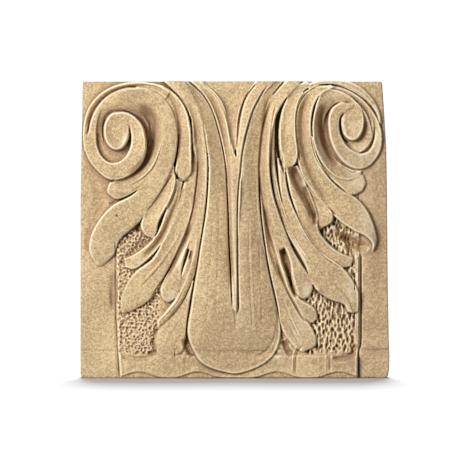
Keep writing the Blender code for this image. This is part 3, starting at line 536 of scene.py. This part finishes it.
fieldGrooves = [
    ([107,200, 98,213, 90.6,228, 87,242, 88.6,256], 8.0, 1.3, 0.2),
    ([86,164, 93,178, 101,192, 98,206, 88,224], 18.0, 2.4, 0.3),
    ([115.4,240, 115.4,290, 115.6,312, 116.6,328, 117.4,345, 119.4,378], 2.2, 2.2, 0.05),
    ([111.6,288, 112.2,300, 112.8,312], 7.0, 1.0, 0.4),
    ([118.6,245, 118.7,300, 119.6,330, 120.2,349, 122,376], 1.6, -0.6, 0.05),
    ([113.6,313, 114.2,345, 116.2,376], 2.2, -0.7, 0.1),
    ([80,350.6, 98,350.8, 115,351], 3.0, 0.8, 0.05),
    ([361,349.4, 374,349.8, 390,349.6], 3.4, 0.9, 0.05),
    ([113.5,272, 112.6,290, 112.6,304, 114,312], 9.0, 2.2, 0.3),
    ([148,238, 139,246, 131,255, 122,266], 14.0, 4.0, 0.2),
    ([157,326, 154,340, 153.6,352, 145,357.4, 130,357.4, 121,355], 9.0, 4.0, 0.1),
    ([117.4,276, 117,290, 117.4,304], 3.4, 2.0, 0.25),
    ([184,338, 188,348, 194,357], 10.0, 6.0, 0.3), ([283.5,340, 287,349, 292,356], 9.0, 5.0, 0.3),
    ([357,344, 352,354.6, 342,358, 332,357.6], 10.0, 5.0, 0.2),
    ([157,296, 152,304, 146,310], 8.0, 2.0, 0.3),
    ([330,232, 342,240, 351,247, 355,257], 15.0, 4.6, 0.2),
    ([338,233, 349,240, 358,245, 368,248.6], 11.0, 7.0, 0.25),
    ([361.0,253, 361.0,300, 360.8,342, 358.8,352, 358.8,377], 3.2, 2.6, 0.04),
    ([357.4,257, 357.4,300, 357.2,343, 356.0,358, 356.0,376], 2.2, -1.1, 0.05),
    ([354.2,260, 354.4,269], 2.2, 1.8), ([354.6,272, 354.6,291], 2.0, 2.4),
    ([354.6,311, 354.4,331], 2.2, 2.4), ([144.3,357, 144.1,374], 2.0, -0.6),
    ([147.0,358, 146.8,373], 2.0, 0.5), ([182.6,354, 182.0,374], 2.6, -0.5),
    ([185.8,354, 185.4,374], 2.4, 0.8), ([297.7,345, 293.6,353, 292.2,374], 2.4, -1.5),
    ([301.4,346, 296.6,355, 295.4,373], 2.6, 1.4), ([326.0,353, 325.6,374], 2.4, -1.0),
    ([330.0,352, 329.8,371], 3.0, 1.6),
]

# the sunk field between the wings with its grain, the foot under it, and the lean of the
# right wing away from the viewer; each "soft" is the width of a step
fieldSize = {
    "leftEdge": [117,200, 117,305, 118,345, 120.6,380],
    "rightEdge": [359.2,200, 359.4,345, 357.6,352, 357.6,380],
    "top": 214.0, "rise": 2.2, "soft": 0.9, "footTop": 355.0, "footRise": 2.4, "footSoft": 2.7,
    "rightLean": 0.08, "grainSeed": 3, "grain": 0.7, "grainDepth": 0.25, "grainSoft": 2.0,
}
# the foot's lower edge: its humps, the stone cut back below them, and the lip above
scallops = {"centres": (139, 198, 277, 339), "reach": 26.0, "height": 6.0, "floor": 0.6,
            "cutBack": 0.06, "step": 0.9, "stepAt": 0.6, "stepSoft": 1.2,
            "lip": 0.9, "lipAt": 0.8, "lipWidth": 0.9}
# punch marks: their box, the pitch, half size and depth of one, and how far each strays,
# with spare room round it for its lean
punches = {
    "left": {"box": (118.6, 160.0, 220.0, 356.0), "pitch": (2.7, 3.1), "half": (1.4, 1.6),
             "depth": 3.6, "seed": 11},
    "right": {"box": (305.0, 356.0, 218.0, 355.0), "pitch": (3.5, 5.0), "half": (1.5, 3.6),
              "depth": 5.4, "seed": 12},
}
strays = {"place": 0.42, "halfX": (0.7, 1.25), "halfY": (0.6, 1.3), "depth": (0.45, 1.2),
          "lean": 0.35, "stagger": 0.5, "spare": 1.4}
# the map's finish: crispness (share, blur), softening, wear of raised edges (share, blur),
# unevenness (seed, depth, grain), the power of a disc's dome, and the greatest height
finish = {"crisp": (0.20, 2.6), "soften": 0.45, "worn": (0.3, 1.3),
          "uneven": ((1, 0.10, 1.6), (2, 0.16, 7.0)), "dome": 0.8, "tallest": 26.0}


def softStep(distance, soft):  # 3 s^2 - 2 s^3, from 0 to 1 across a line
    share = np.clip(distance / soft + 0.5, 0, 1)
    return share * share * (3 - 2 * share)


# The plain courses under the carving: wings at 0, the right one falling away in a straight
# slope, and the field between its two edges and the foot, each raised over a soft step.
def plainCourses(size):
    left, right = (edgeAt(size[key], mapDown) for key in ("leftEdge", "rightEdge"))
    inField = (softStep(mapAcross - left, size["soft"])
               * softStep(right - mapAcross, size["soft"])
               * softStep(mapDown - size["top"], size["soft"]))
    foot = size["footRise"] * softStep(mapDown - size["footTop"], size["footSoft"])
    lean = size["rightLean"] * np.maximum(mapAcross - right, 0)
    return (size["rise"] + foot) * inField - lean * (1 - inField), inField


# Punch marks: bowls 1 - r^2 on a staggered, jittered lattice, each cell keeping its deepest.
def punchMarks(mark):
    draw = np.random.default_rng(mark["seed"])
    x0, x1, y0, y1 = mark["box"]
    columns, rows = int((x1 - x0) / mark["pitch"][0]), int((y1 - y0) / mark["pitch"][1])
    row, column = np.divmod(np.arange(rows * columns), columns)
    jitter = draw.uniform(-strays["place"], strays["place"], (2, row.size))
    stagger = strays["stagger"] * (row % 2)
    x = x0 + (column + stagger + jitter[0] + strays["stagger"] / 2) * mark["pitch"][0]
    y = y0 + (row + jitter[1] + 0.5) * mark["pitch"][1]
    halfX = mark["half"][0] * draw.uniform(*strays["halfX"], row.size)
    halfY = mark["half"][1] * draw.uniform(*strays["halfY"], row.size)
    depth = mark["depth"] * draw.uniform(*strays["depth"], row.size)
    lean = draw.uniform(-strays["lean"], strays["lean"], row.size)
    reach = int(strays["spare"] * max(mark["half"]) * strays["halfY"][1] / sheet["step"])
    offset = np.arange(-reach, reach + 1)
    x, y, halfX, halfY, depth, lean = (values[:, None, None]
                                       for values in (x, y, halfX, halfY, depth, lean))
    cellX, cellY = (np.rint(cells).astype(int) for cells in onMap(x, y))
    cellX, cellY = cellX + offset, cellY + offset[:, None]
    awayY = (cellY * sheet["step"] + sheet["top"] - y) / halfY
    awayX = (cellX * sheet["step"] + sheet["left"] - x) / halfX + lean * awayY
    bowl = -depth * np.clip(1 - awayX ** 2 - awayY ** 2, 0, 1)
    marks = np.zeros(mapShape)
    np.minimum.at(marks, tuple(np.broadcast_arrays(cellY, cellX)), bowl)
    return marks


def footEdge(x):  # how far above the foot line its lower edge stands, a cosine hump each
    edge = np.full_like(x, scallops["floor"])
    for centre in scallops["centres"]:
        share = np.clip((x - centre) / scallops["reach"], -1, 1)
        edge += scallops["height"] * np.cos(share * math.pi / 2) ** 2
    return edge


# The whole carving: courses and punch marks, then each form where it stands higher, half
# the two heights' sum and the root of their squared difference and squared blend, then the
# discs, a sharpening and a softening, the grooves, wear and the stone's own unevenness.
def carve():
    height, inField = plainCourses(fieldSize)
    for mark in punches.values():
        height += punchMarks(mark) * inField
    height += (fieldSize["grainDepth"] * unevenness(fieldSize["grainSeed"], fieldSize["grain"])
               * inField * softStep(fieldSize["footTop"] - mapDown, fieldSize["grainSoft"]))
    above = sheet["foot"] - footEdge(mapAcross) - mapDown
    below = np.maximum(-above, 0)
    cut = scallops["step"] * softStep(below - scallops["stepAt"], scallops["stepSoft"])
    height -= (scallops["cutBack"] * below + cut) * inField
    lip = np.exp(-((above - scallops["lipAt"]) / scallops["lipWidth"]) ** 2)
    height += scallops["lip"] * lip * inField
    for forms in (stemForms, leftLeafForms, rightLeafForms):
        for form in forms.values():
            covered, formHeight = stampForm(form)
            blend = form.get("blend", 0.0)
            higher = height + formHeight + np.sqrt((height - formHeight) ** 2 + blend ** 2)
            height = np.where(covered, 0.5 * higher, height)
    for disc in discs.values():
        aside = (mapAcross - disc["centre"][0]) / disc["half"][0]
        away = aside ** 2 + ((mapDown - disc["centre"][1]) / disc["half"][1]) ** 2
        dome = np.clip(1 - away, 0, 1) ** finish["dome"]
        top = disc["height"] + disc["rise"] * dome + disc["tilt"] * aside
        height = np.where(away < 1, np.maximum(height, top), height)
    share, blur = finish["crisp"]
    height += share * (height - blurred(height, blur))
    height = blurred(height, finish["soften"])
    for groove in stemGrooves + leftLeafGrooves + rightLeafGrooves + fieldGrooves:
        height += stampLine(*groove)
    share, blur = finish["worn"]
    height -= share * np.maximum(height - blurred(height, blur), 0)
    height += sum(depth * unevenness(seed, grain) for seed, depth, grain in finish["uneven"])
    return np.minimum(height, finish["tallest"])


height = carve()
print("height map carved, tallest", round(float(height.max()), 2))

# soft places of painted shade, browner, and of painted light, paler, where shade falls or light
# catches: centre, half size, strength
shadeSpots = [
    ((378, 250), (14, 105), 1.5), ((358, 246), (13, 9), 3.2), ((116, 296), (4, 18), 2.0),
    ((350, 359), (11, 9), 2.0), ((147, 351), (9, 9), 1.3), ((190, 353), (6, 9), 1.6),
    ((288, 360), (9, 12), 1.3), ((103, 200), (7, 14), 0.9), ((313, 217), (7, 13), 3.2),
    ((283, 126), (4, 16), 1.6), ((281, 161), (3, 8), 2.6), ((338, 308), (11, 7), 2.4),
    ((290, 272), (6, 18), 1.6), ((143, 242), (8, 10), 1.4), ((216, 140), (7, 45), 0.9),
    ((190, 260), (3, 10), 3.0), ((222, 170), (6, 50), 0.8), ((218, 235), (7, 40), 0.8),
    ((187, 195), (6, 20), 0.9), ((238, 108), (6, 16), 1.2), ((378, 351), (14, 6), 1.2),
    ((336, 162), (6, 6), 1.6), ((150, 122), (9, 10), 1.0), ((325, 290), (12, 8), 1.0),
]
lightSpots = [
    ((360, 155), (20, 16), 0.36), ((356, 182), (14, 12), 0.40), ((368, 220), (12, 24), 0.36),
    ((338, 94), (26, 10), 0.32), ((378, 130), (6, 36), 0.32), ((300, 326), (17, 26), 0.34),
    ((350, 290), (9, 22), 0.36), ((226, 86), (24, 6), 0.28), ((241, 322), (14, 30), 0.26),
    ((106, 246), (15, 18), 0.22), ((309, 292), (7, 9), 0.60), ((354, 126), (9, 12), 0.30),
    ((126, 143), (6, 9), 0.50), ((245, 200), (6, 70), 0.22), ((300, 250), (7, 26), 0.30),
    ((320, 152), (5, 26), 0.34), ((182, 264), (5, 20), 0.40), ((335, 240), (10, 16), 0.22),
    ((172, 296), (7, 8), 0.40), ((183, 345), (4, 9), 0.50), ((277, 348), (4, 12), 0.50),
]

# what the painted shade and highlight follow: a near and a far blur of the map as (share, blur), a
# third that is moved by cells down and across to paint shade under what stands above a place, and the
# rims' blur
tones = {"blurs": ((0.4, 2.4), (0.35, 6.0), (0.25, 3.0)), "moved": (20, 6), "rimBlur": 0.9}


# The sum of soft places, each its strength times exp(-distance^2) in its own half sizes.
def softPlaces(places):
    return sum(strength * np.exp(-((mapAcross - x) / wide) ** 2 - ((mapDown - y) / tall) ** 2)
               for (x, y), (wide, tall), strength in places)


# Painted shade, above 0 in recesses and under raised forms where shade falls: the blurs less the map,
# and the spots of painted shade. Painted highlight, above 0 along raised edges where light catches:
# the map less its close blur, and the spots of painted light.
near, far, shadowUnder = (share * blurred(height, blur) for share, blur in tones["blurs"])
paintedShade = near + far + np.roll(shadowUnder, tones["moved"], axis=(0, 1)) - height
paintedShade = np.maximum(paintedShade, 0) + softPlaces(shadeSpots)
paintedHighlight = height - blurred(height, tones["rimBlur"]) + softPlaces(lightSpots)
print("hollows and rims found")

# the block's outline on the drawing, how it is sawn, and its mesh: "rise" scales every
# height and "sunk" also those under the plain face, edges round off over "edgeRound" at the
# sides and over one part in "endCrisp" of it at top and bottom, and "paintedTo" and
# "smoothTo" say how far behind the plain face painted shade and highlight are laid and faces shade
# smoothly
block = {
    "leftEdge": [83.4,81.5, 82.7,83, 82.6,90, 81.6,140, 80.6,200, 80.5,373, 81,376, 82.4,378],
    "rightEdge": [381.2,81.5, 382.2,83, 383.8,105, 386.4,148, 387.2,200, 387.8,280, 388.9,340,
                  389.6,356, 389.2,370, 388.2,375.6, 386,378],
    "top": 81.5, "bottom": 378.0, "step": 0.5, "slab": 0.040, "relief": 0.026,
    "rise": 1.36, "sunk": 0.8, "edgeRound": 1.6, "endCrisp": 8.0, "backRound": 0.0012,
    "triangles": 190000, "paintedTo": 0.004, "smoothTo": 0.002,
}
toMillimetres, toMetres = 1000, 0.001
faceY = cadBox[0].y + block["relief"]


def readMap(field, x, y):  # the map between its cells, weighted by nearness
    column, row = onMap(x, y)
    i = np.clip(row.astype(int), 0, mapShape[0] - 2)
    j = np.clip(column.astype(int), 0, mapShape[1] - 2)
    s, t = column - j, row - i
    return ((field[i, j] * (1 - s) + field[i, j + 1] * s) * (1 - t)
            + (field[i + 1, j] * (1 - s) + field[i + 1, j + 1] * s) * t)


# The block's skin: a grid of the face between the sawn edges, its height read from the
# map and rounded off at the edge by a quarter circle, then walls from the rim of that
# grid back to the sawn back, closed by a fan.
def buildBlock():
    rows = int((block["bottom"] - block["top"]) / block["step"]) + 1
    y = np.linspace(block["bottom"], block["top"], rows)
    left, right = (edgeAt(block[key], y)[:, None] for key in ("leftEdge", "rightEdge"))
    columns = int((right - left).max() / block["step"]) + 1
    share = np.linspace(0, 1, columns)[None, :]
    across = left * (1 - share) + right * share
    down = np.broadcast_to(y[:, None], across.shape)
    toSide = np.minimum(across - left, right - across)
    toEnd = np.minimum(down - block["top"], block["bottom"] - down)
    toEdge = np.minimum(toSide, block["endCrisp"] * toEnd)
    reach = np.clip(1 - toEdge / block["edgeRound"], 0, 1)
    face = readMap(height, across, down)
    face = block["rise"] * np.where(face > 0, face, block["sunk"] * face)
    face = np.minimum(face, block["relief"] * toMillimetres)
    face = face - block["edgeRound"] * (1 - np.sqrt(1 - reach ** 2))
    front = np.stack([(across - sheet["centre"]) * toMetres, faceY - face * toMetres,
                      (block["bottom"] - down) * toMetres], axis=-1)
    index = np.arange(rows * columns).reshape(rows, columns)
    rim = np.concatenate([index[0, :-1], index[:-1, -1], index[-1, :0:-1], index[:0:-1, 0]])
    edge = front.reshape(-1, 3)[rim]
    middle = np.array([edge[:, 0].mean(), 0.0, edge[:, 2].mean()])
    rings = []
    back = faceY + block["slab"]
    for depth, inset in ((block["backRound"], 0.0), (0.0, block["backRound"])):
        ring = edge.copy()
        ring[:, 1] = back - depth
        ring[:, [0, 2]] += np.clip(middle[[0, 2]] - edge[:, [0, 2]], -inset, inset)
        rings.append(ring)
    centre = np.array([[middle[0], back, middle[2]]])
    points = np.concatenate([front.reshape(-1, 3)] + rings + [centre])
    quads = [np.stack([index[:-1, :-1], index[:-1, 1:], index[1:, 1:], index[1:, :-1]],
                      axis=-1).reshape(-1, 4)]
    here = rim
    for k in range(len(rings)):
        there = rows * columns + k * rim.size + np.arange(rim.size)
        quads.append(np.stack([here, there, np.roll(there, -1), np.roll(here, -1)], axis=-1))
        here = there
    fan = np.stack([here, np.full(rim.size, len(points) - 1), np.roll(here, -1)], axis=-1)
    return points, np.concatenate(quads), fan


def meshFrom(name, points, quads, triangles):  # whole arrays straight into the mesh
    corners = np.concatenate([quads.ravel(), triangles.ravel()]).astype(np.int32)
    sizes = np.concatenate([np.full(len(quads), 4), np.full(len(triangles), 3)])
    starts = np.concatenate([[0], np.cumsum(sizes)[:-1]]).astype(np.int32)
    mesh = bpy.data.meshes.new(name)
    mesh.vertices.add(len(points))
    mesh.vertices.foreach_set("co", points.astype(np.float32).ravel())
    mesh.loops.add(len(corners))
    mesh.loops.foreach_set("vertex_index", corners)
    mesh.polygons.add(len(sizes))
    mesh.polygons.foreach_set("loop_start", starts)
    mesh.update(calc_edges=True)
    mesh.validate()
    return mesh


def readRows(items, name):  # a vector of each vertex or face, as rows
    values = np.empty(len(items) * 3, np.float32)
    items.foreach_get(name, values)
    return values.reshape(-1, 3)


def addAttribute(mesh, name, values):
    attribute = mesh.attributes.new(name, "FLOAT", "POINT")
    attribute.data.foreach_set("value", values.astype(np.float32))


def placed(name, data):  # a new object, put in the scene
    made = bpy.data.objects.new(name, data)
    bpy.context.scene.collection.objects.link(made)
    return made


def thinned(mesh, triangles):  # fewer triangles where the form is plain
    carrier = placed("thinning", mesh)
    thin = carrier.modifiers.new("thin", "DECIMATE")
    thin.ratio = min(1.0, triangles / sum(len(face.vertices) - 2 for face in mesh.polygons))
    graph = bpy.context.evaluated_depsgraph_get()
    result = bpy.data.meshes.new_from_object(carrier.evaluated_get(graph))
    bpy.data.objects.remove(carrier)
    return result


mesh = thinned(meshFrom("carved block", *buildBlock()), block["triangles"])
print("block meshed,", len(mesh.polygons), "faces")


# Shader maths: a socket that adds the node its operator stands for.
class Wire:
    def __init__(self, paint, socket):
        self.paint, self.socket = paint, socket

    def math(self, operation, first, second):
        return self.paint.node("ShaderNodeMath", {"operation": operation}, {0: first, 1: second})

    def __add__(self, other):
        return self.math("ADD", self, other)

    def __sub__(self, other):
        return self.math("SUBTRACT", self, other)

    def __rsub__(self, other):
        return self.math("SUBTRACT", other, self)

    def __mul__(self, other):
        return self.math("MULTIPLY", self, other)

    __radd__, __rmul__ = __add__, __mul__


# The nodes of a material or a world.
class Paint:
    def __init__(self, owner):
        owner.use_nodes = True
        self.tree = owner.node_tree

    # one node: its type, its settings first, then the values or wires of its sockets
    def node(self, kind, settings, inputs, output=0):
        made = self.tree.nodes.new(kind)
        for key, value in settings.items():
            setattr(made, key, value)
        self.feed(made, inputs)
        return Wire(self, made.outputs[output])

    def feed(self, node, inputs):
        for key, value in inputs.items():
            if isinstance(value, Wire):
                self.tree.links.new(value.socket, node.inputs[key])
            else:
                node.inputs[key].default_value = value

    def read(self, attribute):  # a number carried by the mesh
        return self.node("ShaderNodeAttribute", {"attribute_name": attribute}, {}, "Fac")

    def noise(self, place, scale, detail, rough):
        return self.node("ShaderNodeTexNoise", {}, {"Vector": place, "Scale": scale,
                                                    "Detail": detail, "Roughness": rough})

    def between(self, value, low, high):  # 0 at low, 1 at high
        return self.node("ShaderNodeMapRange", {"interpolation_type": "SMOOTHSTEP"},
                         {0: value, 1: low, 2: high, 3: 0.0, 4: 1.0})

    def mix(self, share, first, second):  # colours, by share
        return self.node("ShaderNodeMix", {"data_type": "RGBA"}, {0: share, 6: first, 7: second}, 2)


# colours; noises as scale, detail and roughness; and tints laid over each other in turn as
# far as a value lies between two limits: the value, the limits, a strength and a colour
# "dark" and "deep" are the colours of painted shade, "pale" that of painted highlight
stone = {
    "light": (0.68, 0.52, 0.30, 1), "mid": (0.37, 0.255, 0.14, 1), "pale": (0.88, 0.77, 0.55, 1),
    "dark": (0.29, 0.165, 0.10, 1), "deep": (0.085, 0.038, 0.020, 1), "speck": (0.18, 0.10, 0.055, 1),
    "grain": (1000.0, 3.0, 0.6), "mottle": (420.0, 3.0, 0.55), "cloud": (22.0, 2.0, 0.5),
    "cloudShare": 0.15, "mottleShare": 0.35, "grainShare": 0.50, "tone": (0.43, 0.58),
    # the hollow and crease tints paint shade, the rim tint paints highlight, and the grain tint is
    # the stone's own specks
    "tints": (("hollow", 0.2, 2.8, 0.70, "dark"), ("hollow", 3.0, 8.0, 0.75, "deep"),
              ("rim", 0.08, 0.8, 0.9, "pale"), ("crease", 0.3, 1.6, 0.7, "dark"),
              ("grain", 0.60, 0.70, 0.6, "speck")),
    "roughAt": (0.3, 0.7), "roughFrom": 0.82, "roughRange": 0.12, "specular": 0.2,
    "grainBump": 0.7, "mottleBump": 0.6, "bump": 0.8, "bumpDepth": 0.0008,
}


# Sandstone: mid to light by three noises, with painted shade, browner and darker, in the hollows
# and creases, painted highlight, paler, along the rims, and dark specks where the grain is strongest.
def sandstone(look):
    material = bpy.data.materials.new("sandstone")
    paint = Paint(material)
    place = paint.node("ShaderNodeTexCoord", {}, {}, "Object")
    grain, mottle, cloud = (paint.noise(place, *look[key]) for key in ("grain", "mottle", "cloud"))
    values = {"hollow": paint.read("hollow"), "rim": paint.read("rim"), "grain": grain}
    # creases, where the rim value falls below 0, take painted shade
    values["crease"] = 0.0 - values["rim"]
    noise = cloud * look["cloudShare"] + mottle * look["mottleShare"] + grain * look["grainShare"]
    colour = paint.mix(paint.between(noise, *look["tone"]), look["mid"], look["light"])
    for value, low, high, strength, over in look["tints"]:
        share = paint.between(values[value], low, high) * strength
        colour = paint.mix(share, colour, look[over])
    rough = paint.between(mottle, *look["roughAt"]) * look["roughRange"] + look["roughFrom"]
    bump = paint.node("ShaderNodeBump", {}, {
        "Strength": look["bump"], "Distance": look["bumpDepth"],
        "Height": grain * look["grainBump"] + mottle * look["mottleBump"]})
    paint.feed(paint.tree.nodes["Principled BSDF"], {
        "Base Color": colour, "Roughness": rough, "Normal": bump,
        "Specular IOR Level": look["specular"]})
    return material


spot = readRows(mesh.vertices, "co")
placeX = spot[:, 0] * toMillimetres + sheet["centre"]
placeY = block["bottom"] - spot[:, 2] * toMillimetres
painted = spot[:, 1] < faceY + block["paintedTo"]
# the mesh carries the painted shade in hollows and under raised forms as "hollow"
addAttribute(mesh, "hollow", np.where(painted, readMap(paintedShade, placeX, placeY), 0))
# and the painted highlight along raised edges as "rim"
addAttribute(mesh, "rim", np.where(painted, readMap(paintedHighlight, placeX, placeY), 0))
behind = readRows(mesh.polygons, "center")[:, 1] > faceY + block["smoothTo"]
mesh.polygons.foreach_set("use_smooth", ~behind)
mesh.materials.clear()
mesh.materials.append(sandstone(stone))
carvedBlock = placed("carved_block", mesh)
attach(carvedBlock, "root")
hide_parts("frieze_block")
print("block painted and placed")

# floor, sky, lights and camera; each sun is its angle up from the floor and its power
studio = {"floorSize": 60.0, "floor": (0.93, 0.93, 0.94, 1), "bounce": (0.30, 0.27, 0.24, 1),
          "keyFrom": (-0.97, -1.77, 0.70), "keyAt": (0.0, 0.0, 0.15), "keySize": 0.70,
          "keyPower": 52.0, "fill": 0.28, "fillColour": (0.96, 0.98, 1.0, 1), "backdrop": 1.1,
          "suns": ((88, 0.45), (62, 0.88), (48, 1.04), (37, 1.28)), "sunWidth": 11.0,
          "distance": 5.0, "frame": 0.470, "middle": 235.0, "farthest": 100.0}

half = studio["floorSize"] / 2
floorMesh = bpy.data.meshes.new("floor")
floorMesh.from_pydata([(-half, -half, 0), (half, -half, 0), (half, half, 0), (-half, half, 0)],
                      [], [(0, 1, 2, 3)])
floorMesh.materials.append(bpy.data.materials.new("floor"))
floorPaint = Paint(floorMesh.materials[0])
seen = floorPaint.node("ShaderNodeLightPath", {}, {}, "Is Camera Ray")
bounce, plain = (floorPaint.node("ShaderNodeBsdfDiffuse", {}, {"Color": studio[key]})
                 for key in ("bounce", "floor"))
floorPaint.feed(floorPaint.tree.nodes["Material Output"], {
    "Surface": floorPaint.node("ShaderNodeMixShader", {}, {0: seen, 1: bounce, 2: plain})})
placed("floor", floorMesh)

world = bpy.data.worlds.new("studio")
bpy.context.scene.world = world
sky = Paint(world)
seen = sky.node("ShaderNodeLightPath", {}, {}, "Is Camera Ray")
strength = sky.node("ShaderNodeMapRange", {}, {"Value": seen, "To Min": studio["fill"],
                                               "To Max": studio["backdrop"]})
sky.feed(sky.tree.nodes["Background"], {"Color": studio["fillColour"], "Strength": strength})

keyLight = bpy.data.lights.new("key", "AREA")
keyLight.energy = studio["keyPower"]
keyLight.size = studio["keySize"]
key = placed("key", keyLight)
key.location = studio["keyFrom"]
aim = Vector(studio["keyAt"]) - Vector(studio["keyFrom"])
key.rotation_euler = aim.to_track_quat("-Z", "Y").to_euler()
keyed = bpy.data.collections.new("keyed")  # the key lights the block and leaves the floor plain
keyed.objects.link(carvedBlock)
key.light_linking.receiver_collection = keyed

for up, power in studio["suns"]:  # behind the block, for the short shadow at its foot
    sunLight = bpy.data.lights.new("sun", "SUN")
    sunLight.energy = power
    sunLight.angle = math.radians(studio["sunWidth"])
    placed("sun", sunLight).rotation_euler = (math.radians(up - 90), 0, 0)

cameraLens = bpy.data.cameras.new("camera")
cameraLens.lens = cameraLens.sensor_width * studio["distance"] / studio["frame"]
cameraLens.clip_end = studio["farthest"]
camera = placed("camera", cameraLens)
camera.location = ((studio["middle"] - sheet["centre"]) * toMetres, faceY - studio["distance"],
                   (block["bottom"] - studio["middle"]) * toMetres)
camera.rotation_euler = (math.pi / 2, 0, 0)
bpy.context.scene.camera = camera
bpy.context.scene.view_settings.view_transform = "Standard"
print("studio set")
